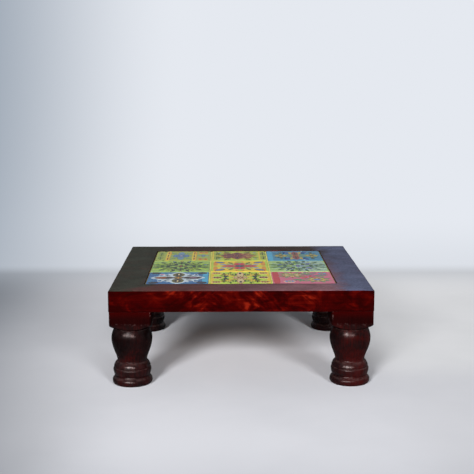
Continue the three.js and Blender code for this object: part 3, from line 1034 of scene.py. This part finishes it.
def paint_back_left(tile):
    """Yellow-green, with a pale blue flower between yellow bands."""
    tile.at(-3).sprig("sage", STEEP, 6, 26, 6)
    tile.at(-30.5).sprig("fern", UP_DOWN, 2, 24, 6)
    for across in (-20.5, 15):
        tile.at(across).panel("yellow", 6, 70)
        tile.petals("brown_orange", UP_DOWN, 14, 17, 2.4)
        tile.petals("umber", UP_DOWN, 1, 9, 2)
        tile.at(across + 2.6).petals("orange", UP_DOWN, 4, 28, 1.4)
    tile.at(-3).petals("dusk_blue", UP_DOWN, 6, 23, 9, point=0.6, rim="sage", rim_width=0.8)
    tile.flower("dusk_blue", "sage", "periwinkle", "beige", 13.5, vein="periwinkle")
    tile.at(27, 1).flower("dusk_blue", "sage", "periwinkle", "ochre", 8, turns=QUARTERS)
    for end in (-1, 1):
        tile.at(27, 25 * end).flower("brown_orange", "orange", "ochre", "umber", 8, turns=DIAGONALS)
        tile.at(-30.5, 33 * end).dots("fern", ACROSS, 4.6, 1.5)


def paint_back_centre(tile):
    """Lime, with a red-brown star, oranger at its right, between dark leaves."""
    for across in (-35, 28):
        tile.at(across).panel("yellow", 2, 70)
    for across in (-30, 33):
        tile.at(across).sprig("leaf_green", UP_DOWN, 3, 24, 6)
    tile.at(-2).sprig("olive", STEEP, 22, 12, 6)
    tile.petals("fern", SHALLOW, 20, 12, 4, point=0.8)
    tile.star("red_brown", 8, 26, 18, rim="brown_orange", rim_width=1.2)
    tile.petals("maroon", (90, 135, 180, 225, 270), 8, 15, 8)
    tile.petals("brown_orange", (315, 0, 45), 8, 16, 9)
    tile.petals("ochre", (338, 22), 12, 11, 3)
    tile.petals("umber", EIGHTHS, 11, 10, 2)
    tile.dots("ochre", STEEP + SHALLOW, 17, 1.2)
    tile.flower("red_brown", "umber", "maroon", "orange", 8)
    tile.dots("grey_blue", DIAGONALS, 34, 2.2)


def paint_back_right(tile):
    """Blue, with a tall brown and yellow flower at its middle and a small one at each side."""
    tile.at(-32.8).panel("cyan", 7, 71)
    tile.at(2).petals("royal_blue", STEEP, 17, 17, 8, point=0.6)
    tile.petals("teal", SHALLOW, 22, 12, 6, point=0.7)
    tile.at(0).scrolls("cyan", DIAGONALS, 26, 6, 230, 1.8, start=60, both=True)
    tile.at(2).petals("sage", STEEP + SHALLOW, 4, 14, 6)
    tile.petals("ochre", (75, 105, 255, 285), 5, 25, 7)
    tile.petals("red_brown", UP_DOWN, 1, 28, 9, point=0.4, rim="mauve", rim_width=1)
    tile.petals("umber", UP_DOWN, 5, 20, 2.4)
    tile.disc("red_brown", 4.4, rim="ochre", rim_width=1)
    for across in (-18, 24):
        tile.at(across).petals("olive", UP_DOWN, 7, 13, 5, point=0.8)
        tile.flower("ochre", "sage", "olive", "umber", 9.5)
        tile.dots("teal", UP_DOWN, 23, 3)
    tile.at(12).dots("white", UP_DOWN, 33, 1.3)


TILE_GLAZES = {
    "tile_front_left": ("royal_blue", "sky_blue", paint_front_left),
    "tile_front_centre": ("lime", "lime", paint_front_centre),
    "tile_front_right": ("pink", "pink", paint_front_right),
    "tile_middle_left": ("mint", "mint", paint_middle_left),
    "tile_middle_centre": ("yellow", "yellow", paint_middle_centre),
    "tile_middle_right": ("pale_mint", "mint", paint_middle_right),
    "tile_back_left": ("yellow_green", "mint", paint_back_left),
    "tile_back_centre": ("lime", "yellow_green", paint_back_centre),
    "tile_back_right": ("sky_blue", "sky_blue", paint_back_right),
}


# Pieces

def rail_section(settings, low, high):
    """A rail's section as (distance in from the outer face, height) points."""
    def quarter(inward, height, radius, start, steps):
        turns = [math.radians(start + 90 * step / steps) for step in range(steps + 1)]
        return [(inward + radius * math.cos(turn), height + radius * math.sin(turn)) for turn in turns]

    face = settings.face_width
    lip = face + settings.lip_width
    lip_top = low + settings.lip_thickness
    bottom = settings.bottom_radius
    inner = settings.inner_radius
    top = settings.top_radius
    return [
        *quarter(bottom, low + bottom, bottom, 180, 4),
        (lip / 2, low),
        (lip, low),
        (lip, lip_top),
        (face, lip_top),
        *quarter(face - inner, high - inner, inner, 0, 3),
        (face * 2 / 3, high),
        (face / 3, high),
        *quarter(top, high - top, top, 90, 5),
        (0, (low + high) / 2),
    ]


END_STEPS = 5  # fine steps along a rail at each of its corners
MIDDLE_STEPS = 48


def rail_mesh(settings, length, reach, low, high):
    """A rail along X with its outer face towards -Y, mitred at both ends."""
    mesh = bmesh.new()
    section = rail_section(settings, low, high)
    verts = [mesh.verts.new((-length / 2, inward - reach, height)) for inward, height in section]
    ring = [mesh.edges.new((verts[i - 1], verts[i])) for i in range(len(verts))]
    fine = settings.corner_radius / 4
    coarse = (length - 2 * END_STEPS * fine) / MIDDLE_STEPS
    for step in [fine] * END_STEPS + [coarse] * MIDDLE_STEPS + [fine] * END_STEPS:
        grown = bmesh.ops.extrude_edge_only(mesh, edges=ring)["geom"]
        moved = [item for item in grown if isinstance(item, bmesh.types.BMVert)]
        bmesh.ops.translate(mesh, vec=(step, 0, 0), verts=moved)
        ring = [item for item in grown if isinstance(item, bmesh.types.BMEdge)]
    for end in (-1, 1):
        tip = Vector((end * (length / 2 - settings.mitre_gap * 0.7), -reach, 0))
        geometry = [*mesh.verts, *mesh.edges, *mesh.faces]
        cut = bmesh.ops.bisect_plane(
            mesh, geom=geometry, dist=1e-7, plane_co=tip, plane_no=(end, 1, 0), clear_outer=True
        )["geom_cut"]
        bmesh.ops.holes_fill(mesh, edges=[item for item in cut if isinstance(item, bmesh.types.BMEdge)])
    bmesh.ops.recalc_face_normals(mesh, faces=mesh.faces)
    return mesh


def round_corners(mesh, half_width, half_depth, radius):
    """Draws the frame's corners in to an arc, seen from above."""
    for vertex in mesh.verts:
        over = Vector((abs(vertex.co.x) - half_width + radius, abs(vertex.co.y) - half_depth + radius))
        if min(over) > 0 and over.length > radius:
            over *= radius / over.length
            vertex.co.x = math.copysign(half_width - radius + over.x, vertex.co.x)
            vertex.co.y = math.copysign(half_depth - radius + over.y, vertex.co.y)


def screw_cutter(side, radius):
    """Shallow round recesses over the screws of one rail."""
    cutter = bmesh.new()
    for node in frame["nodes"]:
        if node.startswith(f"panel_screw_{side}"):
            low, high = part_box(node)
            middle = (low + high) / 2
            place = Matrix.Translation((middle.x, middle.y, low.z))
            bmesh.ops.create_cone(
                cutter, cap_ends=True, segments=32, radius1=radius, radius2=radius,
                depth=6 * MM, matrix=place,
            )
    return cutter


class CHOWKI_OT_rails(bpy.types.Operator):
    """Make the four mitred rails of lacquered, figured wood"""

    bl_idname = "chowki.rails"
    bl_label = "Rails"

    def execute(self, context):
        settings = context.scene.chowki_frame
        low, high = cad_bounds
        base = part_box("frame_rail_front")[0].z
        for index, side in enumerate(SIDES):
            along_x = side in ("front", "back")
            length = (high.x - low.x) if along_x else (high.y - low.y)
            reach = high.y if along_x else high.x
            mesh = rail_mesh(settings, length, reach, base, high.z)
            turn = Matrix.Rotation(index * math.pi / 2, 4, "Z")
            bmesh.ops.transform(mesh, matrix=turn, verts=mesh.verts)
            for share, spacing, seed in ((1, 34 * MM, 3.1), (0.35, 9 * MM, 5.7)):
                wander(mesh, settings.hand_planing * share, spacing, seed)
            round_corners(mesh, high.x, high.y, settings.corner_radius)
            mesh = boolean(mesh, screw_cutter(side, settings.screw_hole_radius), "DIFFERENCE")
            material = rail_lacquer(side, context.scene.chowki_lacquer)
            make_piece(mesh, f"rail_{side}", [material], [f"frame_rail_{side}"])
        return {"FINISHED"}


def leg_outline(leg, height):
    """A leg's turned outline as (radius, height) points, from the sole to the top of its tenon."""
    outline = [(0.0, 0.0), (leg.sole_radius, 0.0)]

    def curve_to(steps, *controls):
        start = outline[-1]
        handles = [Vector((radius, rise, 0)) for radius, rise in (start, *controls)]
        points = interpolate_bezier(*handles, steps + 1)
        outline.extend((point.x, point.y) for point in points[1:])

    def bead_to(steps, widest, radius, rise):
        start = outline[-1]
        pull = (8 * widest - start[0] - radius) / 6
        lift = (rise - start[1]) * leg.bead_lift
        curve_to(steps, (pull, start[1] + lift), (pull, rise - lift), (radius, rise))

    ring_base = leg.foot_height + leg.quirk_height
    line = ring_base + leg.ring_line_height
    crown = ring_base + leg.ring_height
    neck = crown + leg.neck_rise
    pommel_top = height - leg.block_height
    pommel_base = pommel_top - leg.pommel_rise
    mouth = pommel_base - leg.collar_width
    widest = mouth - leg.vase_shoulder
    swell = widest - neck
    corner = leg.blank_width * math.sqrt(0.5)
    bead_to(12, leg.foot_radius, leg.foot_brow_radius, leg.foot_brow_height)
    curve_to(3, (leg.quirk_radius + 0.6 * MM, leg.foot_height - 0.3 * MM),
             (leg.quirk_radius, leg.foot_height), (leg.quirk_radius, ring_base))
    line_low = line - leg.ring_line_width / 2
    line_high = line + leg.ring_line_width / 2
    slope = leg.ring_shoulder - leg.fillet_radius
    rise = crown - line_high
    curve_to(14, (leg.ring_radius - leg.ring_lean, ring_base + leg.ring_lean),
             (leg.ring_radius + leg.ring_lean, line_low - leg.ring_lean), (leg.ring_shoulder, line_low))
    outline.append((leg.ring_line_radius, line))
    outline.append((leg.ring_shoulder, line_high))
    curve_to(12, (leg.ring_shoulder - 0.15 * slope, line_high + 0.38 * rise),
             (leg.fillet_radius + 0.55 * slope, line_high + 0.78 * rise), (leg.fillet_radius, crown))
    curve_to(5, (leg.fillet_radius - 0.5 * MM, crown + 0.5 * MM),
             (leg.neck_radius, crown + 0.8 * MM), (leg.neck_radius, neck))
    shoulder = leg.vase_shoulder
    curve_to(18, (leg.neck_radius, neck + swell * leg.neck_straightness),
             (leg.vase_radius, widest - swell * leg.vase_fullness), (leg.vase_radius, widest))
    curve_to(12, (leg.vase_radius, widest + shoulder * leg.shoulder_fullness),
             (leg.vase_mouth_radius + shoulder * leg.mouth_flare, mouth - shoulder * leg.mouth_rise),
             (leg.vase_mouth_radius, mouth))
    outline.append((leg.collar_radius, mouth + leg.collar_width / 2))
    outline.append((leg.vase_mouth_radius, pommel_base))
    curve_to(14, (leg.blank_width / 2, pommel_base),
             (corner - leg.pommel_rise / 2, pommel_top - leg.pommel_rise / 2), (corner, pommel_top))
    outline.append((corner, height))
    outline.append((leg.tenon_radius, height))
    outline.append((leg.tenon_radius, height + leg.tenon_length))
    outline.append((0.0, height + leg.tenon_length))
    return outline


def turned_mesh(outline, steps):
    """An outline spun round the Z axis."""
    mesh = bmesh.new()
    verts = [mesh.verts.new((radius, 0, height)) for radius, height in outline]
    edges = [mesh.edges.new(pair) for pair in zip(verts, verts[1:])]
    bmesh.ops.spin(
        mesh, geom=[*verts, *edges], cent=(0, 0, 0), axis=(0, 0, 1),
        angle=2 * math.pi, steps=steps, use_merge=True,
    )
    bmesh.ops.remove_doubles(mesh, verts=mesh.verts, dist=TOUCHING)
    bmesh.ops.recalc_face_normals(mesh, faces=mesh.faces)
    return mesh


def blank_mesh(width, radius, low, high):
    """The square blank with its long edges rounded."""
    mesh = bmesh.new()
    size = Matrix.Diagonal((width, width, high - low, 1))
    place = Matrix.Translation((0, 0, (low + high) / 2))
    bmesh.ops.create_cube(mesh, size=1, matrix=place @ size)
    upright = [edge for edge in mesh.edges if abs(edge.verts[0].co.z - edge.verts[1].co.z) > width / 4]
    bmesh.ops.bevel(
        mesh, geom=upright, offset=radius, offset_type="OFFSET", segments=5, profile=0.5,
        affect="EDGES", material=-1,
    )
    return mesh


class CHOWKI_OT_legs(bpy.types.Operator):
    """Make the four turned legs, each with its square block and tenon"""

    bl_idname = "chowki.legs"
    bl_label = "Legs"

    def execute(self, context):
        leg = context.scene.chowki_leg
        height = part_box("frame_rail_front")[0].z - GLUE_LINE
        for index, corner in enumerate(CORNERS):
            low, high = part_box(f"leg_{corner}")
            turning = turned_mesh(leg_outline(leg, height), leg.steps)
            blank = blank_mesh(leg.blank_width, leg.blank_edge_radius, -5 * MM, high.z + 5 * MM)
            mesh = boolean(turning, blank, "INTERSECT")
            middle = (low + high) / 2
            turn = Matrix.Rotation(index * math.pi / 2, 4, "Z")
            place = Matrix.Translation((middle.x, middle.y, 0)) @ turn
            bmesh.ops.transform(mesh, matrix=place, verts=mesh.verts)
            wander(mesh, leg.turning_wander, 11 * MM, 1.7 + index)
            for vertex in mesh.verts:
                vertex.co.z = max(vertex.co.z, 0)
            material = leg_lacquer(corner, context.scene.chowki_lacquer, height - leg.block_height,
                                   abs(middle.x))
            make_piece(mesh, f"turned_leg_{corner}", [material], [f"leg_{corner}"],
                       smooth_angle=38)
        return {"FINISHED"}


class CHOWKI_OT_underside(bpy.types.Operator):
    """Finish the plywood panel, the splines and the screws"""

    bl_idname = "chowki.underside"
    bl_label = "Underside"

    def execute(self, context):
        tiles = context.scene.chowki_tile
        paint_node("base_panel", dry_material("plywood", tiles.plywood, 0.75, 0.35))
        bare_wood = dry_material("bare_wood", tiles.bare_wood, 0.7, 0.3)
        steel = screw_material(tiles.steel)
        for node in frame["nodes"]:
            if node.startswith("mitre_spline"):
                paint_node(node, bare_wood)
            if node.startswith("panel_screw"):
                paint_node(node, steel)
        return {"FINISHED"}


class CHOWKI_OT_tiles(bpy.types.Operator):
    """Glaze and paint the nine tiles, and finish their grout and bed"""

    bl_idname = "chowki.tiles"
    bl_label = "Tiles"

    def execute(self, context):
        settings = context.scene.chowki_tile
        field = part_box("tile_front_right")[1].x
        cement = cement_material("grout", settings.grout, settings.grime_and_shade, field)
        paint_node("tile_grout", cement)
        paint_node("tile_bed", cement)
        for tile, (first, second, painter) in TILE_GLAZES.items():
            painting = TilePainting(tile, settings)
            glaze = glaze_material(f"glaze_{tile}", paint(first), deeper(paint(second), 0.9),
                                   painting.middle, settings, rim=True)
            paint_node(tile, glaze)
            painter(painting)
            painting.finish()
        return {"FINISHED"}


# Stage

COVE_STEPS = 16


def sweep_mesh(settings):
    """Floor and backdrop in one sheet, with a round cove between them, facing the stool."""
    mesh = bmesh.new()
    cove = settings.wall_cove
    back = settings.wall_distance
    width = settings.sweep_width
    outline = [(-settings.floor_reach, 0.0), (back - cove, 0.0)]
    for step in range(1, COVE_STEPS + 1):
        turn = math.pi / 2 * step / COVE_STEPS
        outline.append((back - cove + cove * math.sin(turn), cove - cove * math.cos(turn)))
    outline.append((back, settings.wall_height))
    verts = [mesh.verts.new((-width / 2, y, z)) for y, z in outline]
    edges = [mesh.edges.new(pair) for pair in zip(verts, verts[1:])]
    grown = bmesh.ops.extrude_edge_only(mesh, edges=edges)["geom"]
    moved = [item for item in grown if isinstance(item, bmesh.types.BMVert)]
    bmesh.ops.translate(mesh, vec=(width, 0, 0), verts=moved)
    mesh.normal_update()
    if any(face.normal.z < 0 for face in mesh.faces):
        bmesh.ops.reverse_faces(mesh, faces=mesh.faces)
    return mesh


def sweep_material(settings):
    """Pale floor and backdrop.

    The camera and gloss see the backdrop and the far floor in their own colour, and partly the floor
    beside the stool, where the shadow stays as a faint one. From behind and from below it is clear.
    """
    material, shade, shader, output = new_material("sweep")
    x, y, z = shade.xyz(shade.place())
    sideways = shade.absolute(x)
    on_wall = shade.remap(z, 0, 30 * MM)
    nearer = shade.multiply(shade.math("MINIMUM", y, 0), 0.2)
    # Painted shade: the floor and the backdrop darken towards the left.
    dark_floor = shade.remap(shade.add(x, nearer), -160 * MM, -450 * MM)
    # Painted light: the floor right of the stool is lightened over the stool's shadow.
    to_right = shade.multiply(shade.remap(x, 130 * MM, 200 * MM), shade.remap(y, -160 * MM, -20 * MM))
    # Mottling, and painted shade that darkens the floor towards the front.
    mottle_and_front_shade = shade.add(shade.remap(shade.noise(shade.place(), 4, 4), 0.35, 0.7, 0, 0.09),
                       shade.remap(y, -300 * MM, -500 * MM, 0, 0.3))
    floor = shade.mix(dark_floor, settings.floor, settings.floor_dim)
    floor = shade.mix(to_right, floor, settings.floor_right_painted_light)
    floor = shade.mix(mottle_and_front_shade, floor, settings.floor_dim)
    shade.fill(shader, {
        "Base Color": shade.mix(on_wall, floor, (0.05, 0.05, 0.05)),
        "Roughness": 0.9,
        "Specular IOR Level": 0.1,
    })
    wall = shade.mix(shade.remap(x, -100 * MM, -620 * MM), settings.wall, settings.wall_dim)
    # Painted shade: darker low on the backdrop, where it meets the floor.
    wall = shade.mix(shade.remap(z, 100 * MM, 0, 0, 0.2), wall, settings.horizon_shade)
    lit_floor = shade.mix(1.0, floor, (0.8, 0.8, 0.8), "MULTIPLY")
    glow = shade.node("Emission", {"Color": shade.mix(on_wall, lit_floor, wall)})
    light = shade.node("LightPath").outputs
    seen = shade.larger(light["Is Camera Ray"], light["Is Glossy Ray"])
    beside = shade.remap(sideways, 130 * MM, 220 * MM, 0, settings.floor_glow)
    away = shade.larger(shade.remap(sideways, 600 * MM, 1000 * MM), shade.remap(y, -500 * MM, -1000 * MM))
    own_share = shade.larger(on_wall, shade.larger(beside, away))
    inner_side = shade.node("MixShader", {
        0: shade.multiply(seen, own_share), 1: shader.outputs[0], 2: glow.outputs[0],
    })
    one_sided = shade.node("MixShader", {
        0: shade.node("NewGeometry").outputs["Backfacing"],
        1: inner_side.outputs[0],
        2: shade.node("BsdfTransparent").outputs[0],
    })
    shade.fill(output, {"Surface": one_sided.outputs[0]})
    return material


def lamp_place(distance, turn, rise):
    """A place at a turn from the front, to the right, and an angle above the floor."""
    flat = distance * math.cos(rise)
    return flat * math.sin(turn), -flat * math.cos(turn), distance * math.sin(rise)


def add_lamp(name, place, target, power, width, height=None):
    """A soft lamp that faces a point, square where no height is given."""
    light = bpy.data.lights.new(name, "AREA")
    light.shape = "RECTANGLE"
    light.size = width
    light.size_y = height or width
    light.energy = power
    lamp = bpy.data.objects.new(name, light)
    lamp.location = place
    lamp.rotation_euler = (Vector(target) - Vector(place)).to_track_quat("-Z", "Y").to_euler()
    bpy.context.scene.collection.objects.link(lamp)
    return lamp


def light_gloss_of_legs(*lamps):
    """Keeps lamps to the gloss of the turned legs, so that the tiles don't glare from behind."""
    legs = bpy.data.collections.new("glossy_legs")
    for corner in CORNERS:
        legs.objects.link(bpy.data.objects[f"turned_leg_{corner}"])
    for lamp in lamps:
        lamp.visible_diffuse = False
        lamp.light_linking.receiver_collection = legs


def studio_world(settings):
    """Faint light from all round, in a room that the camera and gloss see as pale."""
    world = bpy.data.worlds.new("studio")
    world.use_nodes = True
    shade = Shading(world.node_tree)
    light = shade.node("LightPath").outputs
    seen = shade.larger(light["Is Camera Ray"], light["Is Glossy Ray"])
    seen = shade.larger(seen, light["Is Transmission Ray"])
    shade.fill(world.node_tree.nodes["Background"], {
        "Color": settings.world_colour,
        "Strength": shade.remap(seen, 0, 1, settings.world_strength, 1),
    })
    return world


def add_camera(settings):
    """A camera where the photograph's edges put it."""
    data = bpy.data.cameras.new("camera")
    data.sensor_width = 36
    data.lens = settings.lens
    camera = bpy.data.objects.new("camera", data)
    camera.location = (settings.camera_side, -settings.camera_distance, settings.camera_height)
    upright = math.pi / 2 - settings.camera_pitch
    camera.rotation_euler = (upright, settings.camera_roll, -settings.camera_yaw)
    bpy.context.scene.collection.objects.link(camera)
    bpy.context.scene.camera = camera


class CHOWKI_OT_stage(bpy.types.Operator):
    """Add the camera, the floor and backdrop, the lamps and the world"""

    bl_idname = "chowki.stage"
    bl_label = "Stage"

    def execute(self, context):
        settings = context.scene.chowki_stage
        add_camera(settings)
        sweep = add_object(sweep_mesh(settings), "sweep", [sweep_material(settings)])
        distance = settings.lamp_distance
        rise = settings.lamp_rise
        left = lamp_place(distance, -settings.left_turn, rise)
        right = lamp_place(distance, settings.right_turn, rise)
        above = (0, settings.top_behind, settings.top_height)
        ahead = lamp_place(distance, -settings.strip_turn, rise)
        aim = (0, 0, settings.aim_height)
        size = settings.lamp_size
        add_lamp("left_lamp", left, aim, settings.left_power, size).visible_glossy = False
        add_lamp("right_lamp", right, aim, settings.right_power, size).visible_glossy = False
        add_lamp("top_lamp", above, (0, 0, 0), settings.top_power, settings.top_size)
        strip = add_lamp("gloss_strip", ahead, aim, settings.strip_power, settings.strip_width,
                         settings.strip_height)
        strip.data.color = settings.strip_colour
        spot = add_lamp("gloss_spot", left, aim, settings.spot_power, settings.spot_size)
        light_gloss_of_legs(strip, spot)
        context.scene.world = studio_world(settings)
        context.scene.view_settings.view_transform = "Standard"
        return {"FINISHED"}


OPERATORS = (
    CHOWKI_OT_rails,
    CHOWKI_OT_legs,
    CHOWKI_OT_underside,
    CHOWKI_OT_tiles,
    CHOWKI_OT_stage,
)
SETTINGS = {
    "chowki_frame": ChowkiFrameSettings,
    "chowki_leg": ChowkiLegSettings,
    "chowki_lacquer": ChowkiLacquerSettings,
    "chowki_tile": ChowkiTileSettings,
    "chowki_stage": ChowkiStageSettings,
}


class CHOWKI_PT_panel(bpy.types.Panel):
    """Lists the chowki's operators and settings"""

    bl_idname = "CHOWKI_PT_panel"
    bl_label = "Chowki"
    bl_space_type = "VIEW_3D"
    bl_region_type = "UI"
    bl_category = "Chowki"

    def draw(self, context):
        for operator in OPERATORS:
            self.layout.operator(operator.bl_idname)
        for name, group in SETTINGS.items():
            box = self.layout.box()
            for setting in group.__annotations__:
                box.prop(getattr(context.scene, name), setting)


def register():
    for group in (*SETTINGS.values(), *OPERATORS, CHOWKI_PT_panel):
        bpy.utils.register_class(group)
    for name, group in SETTINGS.items():
        setattr(bpy.types.Scene, name, PointerProperty(type=group))


def unregister():
    for name in SETTINGS:
        delattr(bpy.types.Scene, name)
    for group in reversed((*SETTINGS.values(), *OPERATORS, CHOWKI_PT_panel)):
        bpy.utils.unregister_class(group)


def main():
    register()
    bpy.ops.chowki.rails()
    bpy.ops.chowki.legs()
    bpy.ops.chowki.underside()
    bpy.ops.chowki.tiles()
    bpy.ops.chowki.stage()


if __name__ == "__main__":
    main()
